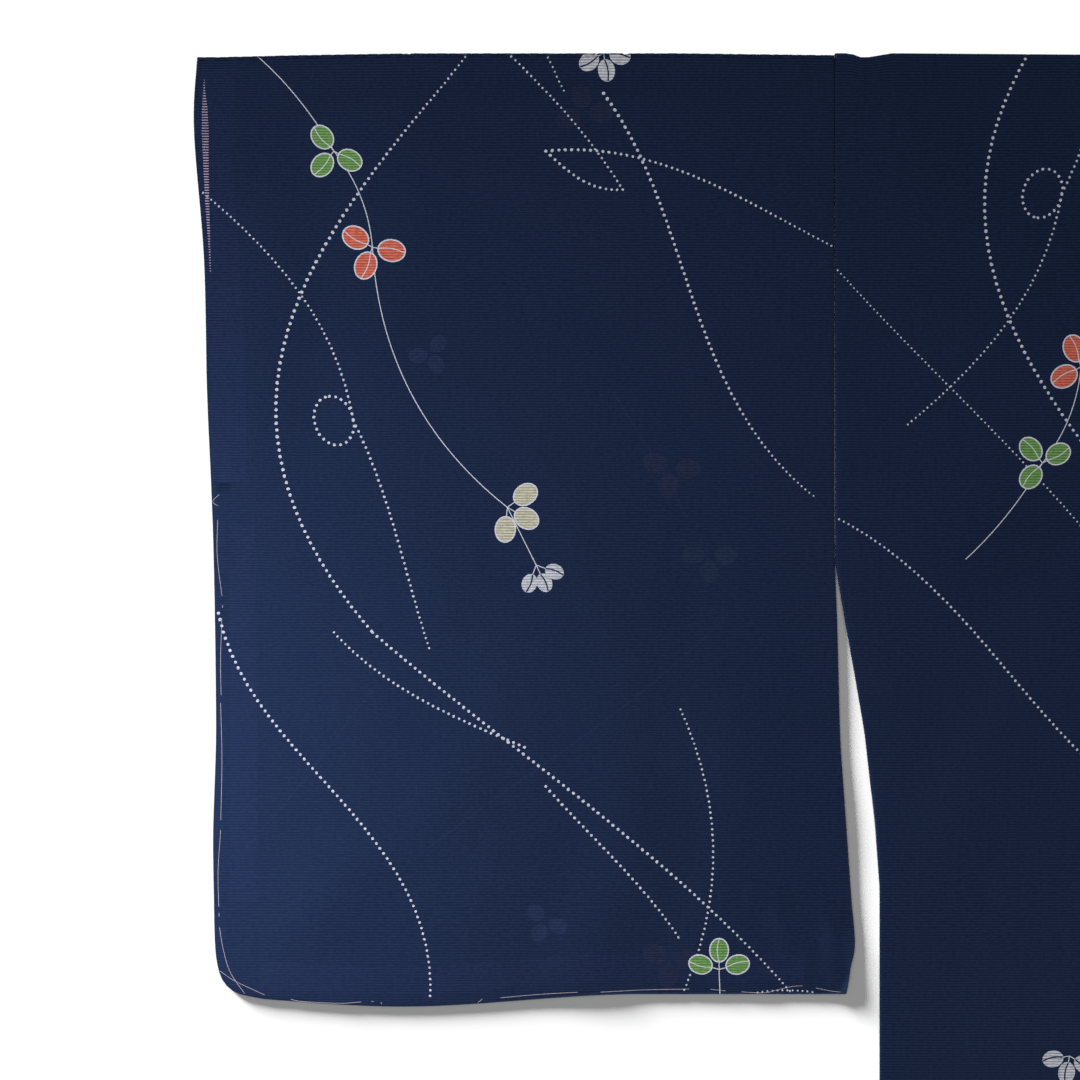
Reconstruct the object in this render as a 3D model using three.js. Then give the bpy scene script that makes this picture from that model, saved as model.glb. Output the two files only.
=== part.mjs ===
// A woman's unlined komon kimono, laid flat with its left front lapped over its right.
// Units are millimetres: +X is the wearer's left, +Y runs from hem to shoulder, +Z is up from the floor.
// Every piece is one closed wall of cloth. "out" is the distance from the centre line towards the piece's
// own side, and "drop" the distance below the shoulder line.
import * as THREE from 'three';

// Cloth
const CLOTH = 1.0; // thickness of each wall
const LAYER_GAP = 0.4; // air between two layers that lie on each other
const SEAM_GAP = 0.3; // air between two pieces sewn edge to edge
const PITCH = CLOTH + LAYER_GAP;
const FOLD_RADIUS = (PITCH + CLOTH) / 2; // outside of a fold with the cloth lying on itself

// Body
const LENGTH = 1600; // shoulder line to hem
const SHOULDER = 320; // centre line to sleeve seam
const FRONT_SEAM = 52; // centre line to the seam between front and overlap
const FRONT_SEAM_TOP = 60; // the same at the overlap's upper tip
const TIP_DROP = 270; // shoulder line to the overlap's upper tip
const HIP_DROP = 433;
const OVERLAP_EDGE = -98; // the overlap's free edge lies past the centre line
const NECK = 87; // centre line to the collar seam at the neck
const NECK_CLEAR = 91.5; // the body is held back here, beside the collar's rolled corner
const NECK_CLEAR_DROP = 12;

// Collar
const COLLAR_STRAIGHT = 60; // drop down to which the collar seam is straight
const COLLAR_DROP = 830; // shoulder line to the collar's lower end
const COLLAR_STEPS = 22; // the curved seam is cut in this many straight steps, the same on each piece
const COLLAR_BOW = 480; // the two terms of the collar seam's curve
const COLLAR_COUNTERBOW = 295;
const COLLAR_WIDTH = 55;
const COLLAR_END_WIDTH = 72;
const COVER_DROP = 375; // shoulder line to the lower end of the collar cover
const STACK = 3 * PITCH; // cover, collar and cover again
const WRAP_RADIUS = (STACK - LAYER_GAP) / 2; // outside of the cover's fold over the collar's free edge
const ROLL_CORE = LAYER_GAP / 2; // inside of the roll where the collar turns behind the neck
const ROLL_MIDDLE = ROLL_CORE + WRAP_RADIUS;
const ROLL_DIAGONAL = (Math.PI * ROLL_MIDDLE) / Math.SQRT2;
const BACK_NECK = -0.8; // height of the collar seam behind the neck, in Y
const CREASE = BACK_NECK - ROLL_DIAGONAL; // where the corner crease meets the collar seam, in Y

// How a front lies over the pieces below it
const CLEAR = 48; // full height is reached this far outside a lower piece's edge
const RAMP = 40; // and falls away over this distance

// Outline of one side of the body
const SIDE_SEAM = [
  { drop: 0, out: SHOULDER },
  { drop: 265, out: 319.4 },
  { drop: 297, out: 314 },
  { drop: 325, out: 309 },
  { drop: 352, out: 304.4 },
  { drop: 400, out: 299 },
  { drop: HIP_DROP, out: 296.6 },
  { drop: LENGTH, out: 297 },
];

// Outline of a sleeve: cuff is measured outwards from the sleeve seam, swing inwards past it
const SLEEVE = [
  { drop: 0, cuff: 331.2, swing: 0 },
  { drop: 39, cuff: 332.8, swing: 0 },
  { drop: 106, cuff: 327.6, swing: 0 },
  { drop: 174, cuff: 326, swing: 0 },
  { drop: 227, cuff: 323.7, swing: 0 },
  { drop: 262, cuff: 322.6, swing: 0.3 },
  { drop: 297, cuff: 321.9, swing: 1.5 },
  { drop: 328, cuff: 321.5, swing: 2.3 },
  { drop: 356, cuff: 321.4, swing: 3.1 },
  { drop: 382, cuff: 322.2, swing: 4.8 },
  { drop: 407, cuff: 322.9, swing: 6.6 },
  { drop: 438, cuff: 322.5, swing: 8.8 },
  { drop: 462, cuff: 321.9, swing: 10.7 },
  { drop: 474, cuff: 320.4, swing: 8.4 },
  { drop: 482, cuff: 317.2, swing: 7.4 },
  { drop: 487, cuff: 310.5, swing: 6.8 },
  { drop: 489, cuff: 297, swing: 6.2 },
];
const SLEEVE_SAG = 5.6; // the lower edge hangs this much lower at its lowest
const SLEEVE_SAG_START = 400;
const SLEEVE_SAG_AT = 0.62; // share of the width, from the body towards the cuff
const SLEEVE_SAG_SPREAD = 0.42;

// Soft ridges of each side's front: place of the middle, direction, length, half width and height
const RIGHT_RIDGES = [
  // sleeve
  { x: -618, y: -130, turn: 88, long: 250, wide: 34, high: 1.4 },
  { x: -548, y: -110, turn: 80, long: 230, wide: 38, high: 1.1 },
  { x: -434, y: -440, turn: 70, long: 150, wide: 34, high: 2.0 },
  { x: -560, y: -415, turn: 40, long: 170, wide: 34, high: 1.3 },
  { x: -372, y: -400, turn: 78, long: 170, wide: 32, high: 1.5 },
  // front
  { x: -262, y: -330, turn: 66, long: 230, wide: 40, high: 2.2 },
  { x: -236, y: -720, turn: 86, long: 420, wide: 40, high: 2.0 },
  { x: -254, y: -1180, turn: 94, long: 380, wide: 38, high: 1.7 },
  { x: -222, y: -1450, turn: 83, long: 260, wide: 36, high: 2.1 },
];
const LEFT_RIDGES = [
  // sleeve
  { x: 600, y: -150, turn: 95, long: 260, wide: 36, high: 1.5 },
  { x: 505, y: -120, turn: 104, long: 220, wide: 34, high: 1.0 },
  { x: 452, y: -430, turn: 108, long: 160, wide: 36, high: 1.9 },
  { x: 566, y: -420, turn: 128, long: 180, wide: 32, high: 1.4 },
  { x: 384, y: -390, turn: 96, long: 160, wide: 32, high: 1.3 },
  // front
  { x: 258, y: -350, turn: 112, long: 240, wide: 40, high: 2.1 },
  { x: 205, y: -640, turn: 97, long: 380, wide: 44, high: 2.3 },
  { x: 246, y: -980, turn: 87, long: 400, wide: 40, high: 1.8 },
  { x: 172, y: -1240, turn: 93, long: 420, wide: 46, high: 2.2 },
  { x: 232, y: -1470, turn: 99, long: 230, wide: 38, high: 1.9 },
  { x: 20, y: -1120, turn: 88, long: 460, wide: 44, high: 1.6 },
  { x: -40, y: -1440, turn: 84, long: 260, wide: 42, high: 1.9 },
];

const NAVY = new THREE.MeshStandardMaterial({ color: 0x16264f, roughness: 0.82, metalness: 0 });
const NAVY_COLLAR = new THREE.MeshStandardMaterial({ color: 0x14224a, roughness: 0.8, metalness: 0 });

const RIGHT = -1;
const LEFT = 1;

// 0 below 0, 1 above 1, and smooth between
function ease(t) {
  const held = Math.min(1, Math.max(0, t));
  return held * held * (3 - 2 * held);
}

// A table's column at a given drop
function lookUp(table, drop, column) {
  const after = table.findIndex((row) => row.drop >= drop);
  if (after <= 0) return table[after === 0 ? 0 : table.length - 1][column];
  const low = table[after - 1];
  const high = table[after];
  const share = (drop - low.drop) / (high.drop - low.drop);
  return low[column] + share * (high[column] - low[column]);
}

function spaced(from, to, count) {
  return Array.from({ length: count }, (_, i) => from + ((to - from) * i) / (count - 1));
}

const COLLAR_REACH = (COLLAR_DROP - COLLAR_STRAIGHT) / COLLAR_STEPS; // drop of one step
const COLLAR_DROPS = spaced(COLLAR_STRAIGHT, COLLAR_DROP, COLLAR_STEPS + 1);
const COLLAR_FLATS = spaced(0, 1, 4);
const COVER_DROPS = COLLAR_DROPS.filter((drop) => drop <= COVER_DROP);

// Distance out of the collar seam
function collarLine(y) {
  const share = Math.min(1, Math.max(0, (-y - COLLAR_STRAIGHT) / (COLLAR_DROP - COLLAR_STRAIGHT)));
  const step = Math.min(COLLAR_STEPS - 1, Math.floor(share * COLLAR_STEPS));
  const [above, below] = [step, step + 1].map((n) => {
    const t = n / COLLAR_STEPS;
    return NECK - COLLAR_BOW * t ** 2 + COLLAR_COUNTERBOW * t ** 3;
  });
  return above + (below - above) * (share * COLLAR_STEPS - step);
}

function collarWidth(y) {
  return COLLAR_WIDTH + (COLLAR_END_WIDTH - COLLAR_WIDTH) * ease(-y / COLLAR_DROP);
}

// Distance out of the seam between front and overlap
function frontSeam(y) {
  return FRONT_SEAM + (FRONT_SEAM_TOP - FRONT_SEAM) * ease((y + HIP_DROP) / (HIP_DROP - TIP_DROP));
}

function ridges(side, x, y) {
  let high = 0;
  for (const ridge of side === LEFT ? LEFT_RIDGES : RIGHT_RIDGES) {
    const turn = THREE.MathUtils.degToRad(ridge.turn);
    const along = (x - ridge.x) * Math.cos(turn) + (y - ridge.y) * Math.sin(turn);
    const across = (y - ridge.y) * Math.cos(turn) - (x - ridge.x) * Math.sin(turn);
    const end = Math.abs(along) / (ridge.long / 2);
    high += ridge.high * ease(1 - Math.abs(across) / ridge.wide) * ease((1 - end) * 1.6);
  }
  return high;
}

// 1 over a lower piece and for CLEAR around it, 0 further away. inside is the distance inside its edge.
function over(inside) {
  return ease((inside + CLEAR + RAMP) / RAMP);
}

// How far the left front is lifted by the right front and collar below it
function lift(x, y) {
  const line = -collarLine(y);
  const edge = line + collarWidth(y);
  const sheet = over(-OVERLAP_EDGE - x);
  const upperSheet = over(line - x);
  const band = over(Math.min(edge - x, y + COLLAR_DROP));
  const covered = over(Math.min(x - line, edge - x, y + COVER_DROP));
  const bare = y < -COLLAR_DROP ? sheet : upperSheet;
  return Math.max(PITCH * bare, PITCH * band, STACK * covered);
}

// Underside of the front layer at a point
function rest(side, x, y) {
  return PITCH + (side === LEFT && Math.abs(x) < SHOULDER ? lift(x, y) : 0) + ridges(side, x, y);
}

// Closes a wall of cloth: place(row, column, face) gives the points of its outer face, 0, and inner face, 1.
// From column crossFrom on, its cells are split along their other diagonal.
function wall(rows, columns, place, crossFrom = columns) {
  const points = [];
  for (const face of [0, 1]) {
    for (let i = 0; i < rows; i += 1) {
      for (let j = 0; j < columns; j += 1) points.push(...place(i, j, face));
    }
  }
  const at = (face, i, j) => (face * rows + i) * columns + j;
  const faces = [];
  const quad = (a, b, c, d) => faces.push(a, b, c, a, c, d);
  for (let i = 0; i + 1 < rows; i += 1) {
    for (let j = 0; j + 1 < columns; j += 1) {
      if (j < crossFrom) {
        quad(at(0, i, j), at(0, i, j + 1), at(0, i + 1, j + 1), at(0, i + 1, j));
        quad(at(1, i, j), at(1, i + 1, j), at(1, i + 1, j + 1), at(1, i, j + 1));
      } else {
        quad(at(0, i, j + 1), at(0, i + 1, j + 1), at(0, i + 1, j), at(0, i, j));
        quad(at(1, i, j + 1), at(1, i, j), at(1, i + 1, j), at(1, i + 1, j + 1));
      }
    }
    quad(at(0, i, 0), at(0, i + 1, 0), at(1, i + 1, 0), at(1, i, 0));
    const last = columns - 1;
    quad(at(0, i + 1, last), at(0, i, last), at(1, i, last), at(1, i + 1, last));
  }
  for (let j = 0; j + 1 < columns; j += 1) {
    quad(at(0, 0, j + 1), at(0, 0, j), at(1, 0, j), at(1, 0, j + 1));
    const last = rows - 1;
    quad(at(0, last, j), at(0, last, j + 1), at(1, last, j + 1), at(1, last, j));
  }
  if (volume(points, faces) < 0) faces.reverse();
  const geometry = new THREE.BufferGeometry();
  geometry.setAttribute('position', new THREE.Float32BufferAttribute(points, 3));
  geometry.setIndex(faces);
  geometry.computeVertexNormals();
  return geometry;
}

function volume(points, faces) {
  const corner = (index) => new THREE.Vector3().fromArray(points, index * 3);
  let total = 0;
  for (let k = 0; k < faces.length; k += 3) {
    total += corner(faces[k]).dot(corner(faces[k + 1]).cross(corner(faces[k + 2])));
  }
  return total;
}

// Rows of a piece that is folded at the shoulder line: up the back layer, over the fold, down the front
function foldedRows(backDrops, frontDrops) {
  return [
    ...backDrops.map((drop) => ({ layer: 'back', drop })).reverse(),
    ...[-55, 0, 55].map((degrees) => ({ layer: 'fold', drop: 0, angle: THREE.MathUtils.degToRad(degrees) })),
    ...frontDrops.map((drop) => ({ layer: 'front', drop })),
  ];
}

// A point of a folded piece's outer or inner face
function foldedPoint(side, row, out, y, face) {
  const x = side * out;
  if (row.layer === 'back') return [x, y, face === 0 ? 0 : CLOTH];
  if (row.layer === 'front') return [x, y, rest(side, x, y) + (face === 0 ? CLOTH : 0)];
  const radius = face === 0 ? FOLD_RADIUS : FOLD_RADIUS - CLOTH;
  return [x, -FOLD_RADIUS + radius * Math.cos(row.angle), FOLD_RADIUS + radius * Math.sin(row.angle)];
}

const FIRST_DROP = FOLD_RADIUS + 0.2; // the first row below the shoulder fold

function sleeve(side) {
  const drops = [FIRST_DROP, ...SLEEVE.slice(1).map((row) => row.drop)];
  const rows = foldedRows(drops, drops);
  const shares = spaced(0, 1, 11);
  return wall(rows.length, shares.length, (i, j, face) => {
    const { drop } = rows[i];
    const inner = SHOULDER + SEAM_GAP / 2 - lookUp(SLEEVE, drop, 'swing');
    const outer = SHOULDER + lookUp(SLEEVE, drop, 'cuff');
    const near = Math.max(0, 1 - Math.abs(shares[j] - SLEEVE_SAG_AT) / SLEEVE_SAG_SPREAD);
    const low = (drop - SLEEVE_SAG_START) / (SLEEVE.at(-1).drop - SLEEVE_SAG_START);
    const y = -drop - SLEEVE_SAG * ease(near) * ease(low);
    return foldedPoint(side, rows[i], inner + (outer - inner) * shares[j], y, face);
  });
}

// Distance out of the front layer's inner edge: along the collar, then along the seam to the overlap
function frontEdge(drop) {
  if (drop < NECK_CLEAR_DROP) return NECK_CLEAR;
  return (drop < TIP_DROP ? collarLine(-drop) : frontSeam(-drop)) + SEAM_GAP / 2;
}

function body(side) {
  const shaped = [...COLLAR_DROPS.filter((drop) => drop < TIP_DROP), TIP_DROP, 297, 325, 352, 392, HIP_DROP];
  const straight = spaced(HIP_DROP, LENGTH, 25).slice(1);
  const neck = [FIRST_DROP, NECK_CLEAR_DROP - 1, NECK_CLEAR_DROP + 4];
  const backDrops = [FIRST_DROP + 0.6, 265, 297, 325, 352, 400, HIP_DROP, 1000, LENGTH];
  const rows = foldedRows(backDrops, [...neck, ...shaped, ...straight]);
  const shares = spaced(0, 1, 9);
  return wall(rows.length, shares.length, (i, j, face) => {
    const { layer, drop } = rows[i];
    const outer = lookUp(SIDE_SEAM, drop, 'out') - SEAM_GAP / 2;
    const inner = layer === 'back' ? SEAM_GAP / 2 : frontEdge(drop);
    return foldedPoint(side, rows[i], outer + (inner - outer) * shares[j], -drop, face);
  });
}

function overlap(side) {
  const below = spaced(COLLAR_DROP, LENGTH, 17).slice(1);
  const drops = [TIP_DROP + 12, ...COLLAR_DROPS.filter((drop) => drop > TIP_DROP + 12), ...below];
  const shares = spaced(0, 1, 6);
  return wall(drops.length, shares.length, (i, j, face) => {
    const y = -drops[i];
    const outer = frontSeam(y) - SEAM_GAP / 2;
    const inner = collarLine(y) + SEAM_GAP / 2;
    const x = side * (outer + (inner - outer) * shares[j]);
    return [x, y, rest(side, x, y) + (face === 0 ? CLOTH : 0)];
  });
}

// Maps a point of the straight collar strip to its place. along is Y on the front, where the strip lies beside
// the collar seam; past the crease it rolls over and runs behind the neck. across starts at the seam, and
// high is the height above the strip's own underside.
function strip(side, along, across, high) {
  if (along < -COLLAR_STRAIGHT) {
    const slope = (collarLine(along + COLLAR_REACH) - collarLine(along - COLLAR_REACH)) / (2 * COLLAR_REACH);
    const long = Math.hypot(1, slope);
    const out = collarLine(along) - across / long;
    const y = along + (across * slope) / long;
    return [side * out, y, collarRest(side, side * out, y) + high];
  }
  const past = (along - CREASE - across) / Math.SQRT2;
  const out = NECK - across;
  if (past <= 0) return [side * out, along, collarRest(side, side * out, along) + high];
  const turn = Math.min(Math.PI, past / ROLL_MIDDLE);
  const radius = ROLL_CORE + high;
  const beyond = Math.max(0, past - Math.PI * ROLL_MIDDLE);
  const moved = (radius * Math.sin(turn) - beyond - past) / Math.SQRT2;
  return [side * (out + moved), along + moved, STACK - ROLL_CORE + radius * Math.cos(turn)];
}

// Underside of the collar on the front: it climbs over the band behind the neck before it rolls
function collarRest(side, x, y) {
  const corner = PITCH + (STACK - PITCH) * ease((y + COLLAR_STRAIGHT) / (0.75 * COLLAR_STRAIGHT));
  return Math.max(rest(side, x, y), corner);
}

// Rows across the strip from its lower end or the cover's up to the centre back. They slant to lie along the
// crease.
function stripRows(drops) {
  const rolled = spaced(0, ROLL_DIAGONAL * 2, 6);
  return [
    ...drops.filter((drop) => drop > COLLAR_STRAIGHT).reverse().map((drop) => ({ along: -drop, slant: 0 })),
    { along: -COLLAR_STRAIGHT, slant: 0.4 },
    { along: -40, slant: 0.7 },
    { along: -18, slant: 1 },
    ...rolled.map((step) => ({ along: CREASE + step, slant: 1 })),
    { along: CREASE + 20, slant: 0.9 },
    { along: CREASE + 40, slant: 0.6 },
    { along: CREASE + 64, slant: 0.3 },
    { along: CREASE + NECK + ROLL_DIAGONAL, slant: 0 },
  ];
}

// Distance across the strip, from beside the seam at 0 to the middle of the cover's fold at 1
function flatAcross(along, flat) {
  return SEAM_GAP / 2 + (collarWidth(along) - WRAP_RADIUS - SEAM_GAP / 2) * flat;
}

// The long collar strip, one half from its lower front end to the centre back
function collar(side) {
  const rows = stripRows(COLLAR_DROPS);
  rows.at(-1).along -= SEAM_GAP / 2;
  if (side === LEFT) rows.reverse();
  return wall(rows.length, COLLAR_FLATS.length, (i, j, face) => {
    const across = flatAcross(rows[i].along, COLLAR_FLATS[j]);
    const along = rows[i].along + rows[i].slant * across;
    const raised = PITCH * ease((along + COVER_DROP + COLLAR_REACH) / COLLAR_REACH);
    return strip(side, along, across, raised + (face === 0 ? CLOTH : 0));
  });
}

// The cover's section: under the collar, round its free edge and back over it
const COVER_SECTION = [
  ...COLLAR_FLATS.map((flat) => ({ flat, turn: -90 })),
  { flat: 1, turn: -30 },
  { flat: 1, turn: 30 },
  ...COLLAR_FLATS.map((flat) => ({ flat, turn: 90 })).reverse(),
];

// The cover that wraps the collar round the neck, in one piece from one front to the other
function collarCover() {
  const half = stripRows(COVER_DROPS);
  const rows = [
    ...half.map((row) => ({ side: RIGHT, ...row })),
    ...half.slice(0, -1).reverse().map((row) => ({ side: LEFT, ...row })),
  ];
  return wall(rows.length, COVER_SECTION.length, (i, j, face) => {
    const { side, along, slant } = rows[i];
    const { flat, turn } = COVER_SECTION[j];
    const angle = THREE.MathUtils.degToRad(turn);
    const radius = face === 0 ? WRAP_RADIUS : WRAP_RADIUS - CLOTH;
    const across = flatAcross(along, flat) + radius * Math.cos(angle);
    return strip(side, along + slant * across, across, WRAP_RADIUS + radius * Math.sin(angle));
  }, COVER_SECTION.length - COLLAR_FLATS.length);
}

function piece(name, geometry, material) {
  const mesh = new THREE.Mesh(geometry, material);
  mesh.name = name;
  return mesh;
}

const kimono = new THREE.Group();
for (const [side, label] of [[RIGHT, 'right'], [LEFT, 'left']]) {
  kimono.add(piece(`body_${label}`, body(side), NAVY));
  kimono.add(piece(`sleeve_${label}`, sleeve(side), NAVY));
  kimono.add(piece(`overlap_${label}`, overlap(side), NAVY));
  kimono.add(piece(`collar_${label}`, collar(side), NAVY_COLLAR));
}
kimono.add(piece('collar_cover', collarCover(), NAVY_COLLAR));

// The origin is the middle of the footprint, on the floor
const middle = new THREE.Box3().setFromObject(kimono).getCenter(new THREE.Vector3());
kimono.position.set(-middle.x, -middle.y, 0);

export default kimono;
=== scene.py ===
"""Looks of a woman's komon kimono that lies flat, front up. Sizes here are millimetres until a mesh is made.

A panel is built in the plane of its cut. There a point is (out, s): out is the distance from the centre line
and s the distance down from the shoulder fold, on the front where s is positive and on the back where it is
negative. The printed motifs are faces of the same cloth, so nothing lies on top of it.
"""
import math

import bpy
import numpy as np
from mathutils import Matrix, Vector
from mathutils.geometry import delaunay_2d_cdt


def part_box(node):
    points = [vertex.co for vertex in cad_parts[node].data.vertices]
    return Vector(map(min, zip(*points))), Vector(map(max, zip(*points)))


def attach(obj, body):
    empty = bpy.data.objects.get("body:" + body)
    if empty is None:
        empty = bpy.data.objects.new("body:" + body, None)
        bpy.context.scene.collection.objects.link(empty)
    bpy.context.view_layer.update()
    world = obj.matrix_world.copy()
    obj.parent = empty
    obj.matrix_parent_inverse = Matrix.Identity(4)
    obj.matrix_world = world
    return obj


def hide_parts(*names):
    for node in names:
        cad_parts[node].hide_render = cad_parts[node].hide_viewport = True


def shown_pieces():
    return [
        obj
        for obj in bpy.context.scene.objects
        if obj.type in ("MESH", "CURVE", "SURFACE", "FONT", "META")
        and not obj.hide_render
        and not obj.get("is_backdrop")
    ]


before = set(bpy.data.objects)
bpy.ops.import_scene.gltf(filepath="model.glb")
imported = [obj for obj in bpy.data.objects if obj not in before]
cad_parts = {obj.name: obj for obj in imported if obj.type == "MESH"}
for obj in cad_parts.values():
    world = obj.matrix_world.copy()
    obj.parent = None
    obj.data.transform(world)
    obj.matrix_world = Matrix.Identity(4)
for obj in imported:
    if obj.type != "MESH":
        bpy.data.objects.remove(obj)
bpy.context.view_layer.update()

MM = 0.001
SHOULDER_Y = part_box("body_right")[1].y / MM  # the shoulder fold in the row frame
RIGHT, LEFT = -1, 1

# camera
PHOTO_SIDE = 561.6  # what the photograph's frame spans at the cloth
PHOTO_CENTRE = (-473.0, -252.0)
CAMERA_HEIGHT = 2000.0
SENSOR = 36.0

camera_data = bpy.data.cameras.new("camera")
camera_data.sensor_width = SENSOR
camera_data.lens = SENSOR * CAMERA_HEIGHT / PHOTO_SIDE
camera_data.clip_start = 0.05
camera = bpy.data.objects.new("camera", camera_data)
camera.location = (PHOTO_CENTRE[0] * MM, (PHOTO_CENTRE[1] + SHOULDER_Y) * MM, CAMERA_HEIGHT * MM)
bpy.context.scene.collection.objects.link(camera)
bpy.context.scene.camera = camera
bpy.context.view_layer.update()

# sizes, as in the solids
CLOTH = 1.0
LAYER_GAP = 0.4
PITCH = CLOTH + LAYER_GAP
SEAM = 0.03  # half of the air at a seam, less than between the solids
FOLD_RADIUS = (PITCH + CLOTH) / 2
LENGTH = 1600.0
SHOULDER = 320.0
FRONT_SEAM, FRONT_SEAM_TOP = 52.0, 60.0
TIP_DROP = 270.0
HIP_DROP = 433.0
OVERLAP_EDGE = -98.0
NECK, NECK_CLEAR, NECK_CLEAR_DROP = 87.0, 88.4, 12.0
NECKLINE_DROP = 1.0
COLLAR_STRAIGHT, COLLAR_DROP = 60.0, 830.0
COLLAR_BOW, COLLAR_COUNTERBOW = 480.0, 295.0
COLLAR_WIDTH, COLLAR_END_WIDTH = 55.0, 72.0
COLLAR_REACH = 35.0
COVER_DROP = 375.0
STACK = 3 * PITCH
WRAP_RADIUS = (STACK - LAYER_GAP) / 2
ROLL_CORE = LAYER_GAP / 2
ROLL_MIDDLE = ROLL_CORE + WRAP_RADIUS
ROLL_DIAGONAL = math.pi * ROLL_MIDDLE / math.sqrt(2)
CREASE = -0.8 - ROLL_DIAGONAL
STRIP_END = CREASE + NECK + ROLL_DIAGONAL  # where the strip meets the centre back
ARC = math.pi / 2 * WRAP_RADIUS  # half of the way round the cover's fold
CORNER_SHARE = 0.75  # of the collar's straight stretch, over which it rises to its full stack
SLOPE_STEP = 5.0  # over which the collar line's slope is taken, to each side
CLEAR, RAMP = 48.0, 40.0

THIN = 0.6  # the shown cloth
EDGE_THIN = 0.1  # share of that which is left at an edge
ROUND = 1.6  # width over which its edges turn down
EDGE_DROP, EDGE_RISE = 0.5, 0.25  # an open edge turns down from the front and up from the back
FOLD_EDGE_DROP, WRAP_EDGE_DROP = 0.2, 0.4  # the same at the ends of the shoulder fold and cover
SEWN_GAP = 0.1  # half of the air between layers that are sewn shut
OPEN_DROP = 236.0  # the cuff is open down to here, and closed below
SIDE_OPEN_DROP = 378.0  # the same for the body's side seam
SHUT_REACH = 10.0  # over which the opening closes
LOWER_SHUT_DROP, LOWER_SHUT_REACH = 478.0, 6.0  # a sleeve's lower edge is sewn shut here
CUFF_FROM = 60.0  # the cuff is further than this from the sleeve seam
SIDE_FROM = 200.0  # and the side seam further than this from the centre line

# outline of the body's side: drop, out
SIDE_SEAM = [
    (0, 320), (265, 319.4), (297, 314), (325, 309), (352, 304.4), (400, 299), (433, 296.6), (1600, 297),
]
# outline of a sleeve: drop, cuff outwards from the sleeve seam, swing inwards past it
SLEEVE = [
    (0, 331.2, 0), (39, 332.8, 0), (106, 327.6, 0), (174, 326, 0), (227, 323.7, 0), (262, 322.6, 0.3),
    (297, 321.9, 1.5), (328, 321.5, 2.3), (356, 321.4, 3.1), (382, 322.2, 4.8), (407, 322.9, 6.6),
    (438, 322.5, 8.8), (462, 321.9, 10.7), (474, 320.4, 8.4), (482, 317.2, 7.4), (487, 310.5, 6.8),
    (489, 297, 6.2),
]
# a sleeve's lower edge is drawn up a little, and hangs lowest nearer the cuff
LOWER_RISE = 1.0
LOWER_SAG, LOWER_SAG_AT, LOWER_SAG_SPREAD = 6.5, 545.0, 125.0
LOWER_REACH = 20.0

# the shoulder fold isn't quite straight, most of all beside the sleeve seam: out, rise
FOLD_WAVE = [
    (150, 0), (290, 1), (305, -1.5), (312, 1), (319.9, 1),
    (320.1, 0), (400, 1), (540, 1), (600, 0), (640, -1),
]
FOLD_WAVE_REACH = 18.0

RIDGE_FULLNESS = 1.6  # above 1, a ridge keeps its height over a stretch of its length
# soft ridges: x, y, turn in degrees, length, half width, height
RIGHT_RIDGES = [
    (-618, -130, 88, 250, 34, 1.4), (-548, -110, 80, 230, 38, 1.1), (-434, -440, 70, 150, 34, 2.0),
    (-560, -415, 40, 170, 34, 1.3), (-372, -400, 78, 170, 32, 1.5), (-262, -330, 66, 230, 40, 2.2),
    (-236, -720, 86, 420, 40, 2.0), (-254, -1180, 94, 380, 38, 1.7), (-222, -1450, 83, 260, 36, 2.1),
]
LEFT_RIDGES = [
    (600, -150, 95, 260, 36, 1.5), (505, -120, 104, 220, 34, 1.0), (452, -430, 108, 160, 36, 1.9),
    (566, -420, 128, 180, 32, 1.4), (384, -390, 96, 160, 32, 1.3), (258, -350, 112, 240, 40, 2.1),
    (205, -640, 97, 380, 44, 2.3), (246, -980, 87, 400, 40, 1.8), (172, -1240, 93, 420, 46, 2.2),
    (232, -1470, 99, 230, 38, 1.9), (20, -1120, 88, 460, 44, 1.6), (-40, -1440, 84, 260, 42, 1.9),
]
# creases of the cloth alone: x, y, turn in degrees, length, half width, height or, below 0, depth
RIGHT_CREASES = [
    (-318, -468, 96, 56, 10, 2.8), (-345, -456, 106, 60, 9, 2.0), (-333, -466, 88, 40, 6, -0.6),
    (-366, -476, 20, 50, 7, 1.2),
    (-470, -13, 1, 300, 6, -0.4), (-596, -34, 12, 80, 9, 0.35), (-640, -262, 84, 200, 7, 0.3),
    (-398, -300, 80, 240, 26, -0.5), (-520, -330, 66, 260, 30, -0.45), (-590, -466, 4, 120, 5, -0.3),
    (-300, -140, 86, 200, 16, -0.4), (-262, -520, 80, 260, 20, 0.6), (-284, -820, 92, 300, 22, -0.6),
    (-208, -1080, 86, 320, 24, 0.6), (-266, -1330, 95, 260, 20, 0.5), (-190, -40, 20, 120, 12, 0.35),
]
LEFT_CREASES = [
    (332, -448, 106, 70, 9, 0.7), (349, -440, 80, 56, 8, 0.5), (470, -14, -2, 280, 6, -0.4),
    (590, -40, -14, 90, 9, 0.35), (640, -300, 96, 180, 7, 0.3), (410, -290, 102, 230, 26, -0.5),
    (540, -310, 116, 250, 30, -0.45), (300, -150, 96, 190, 16, -0.4), (256, -500, 102, 250, 20, 0.6),
    (290, -800, 86, 300, 22, -0.6), (120, -1000, 95, 340, 24, 0.6), (262, -1300, 84, 280, 20, 0.5),
    (60, -1300, 92, 260, 22, -0.6), (-60, -1200, 97, 260, 20, 0.5), (188, -44, -18, 120, 12, 0.35),
]


def column(table, at, number):
    """The numbered column of a table, between its rows, where its first column is at."""
    return np.interp(at, [row[0] for row in table], [row[number] for row in table])


def ease(t):
    t = np.clip(t, 0, 1)
    return t * t * (3 - 2 * t)


def quarter(t):
    """Rises from 0 to 1 like a quarter of a circle."""
    return np.sqrt(1 - (1 - np.clip(t, 0, 1)) ** 2)


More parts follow.
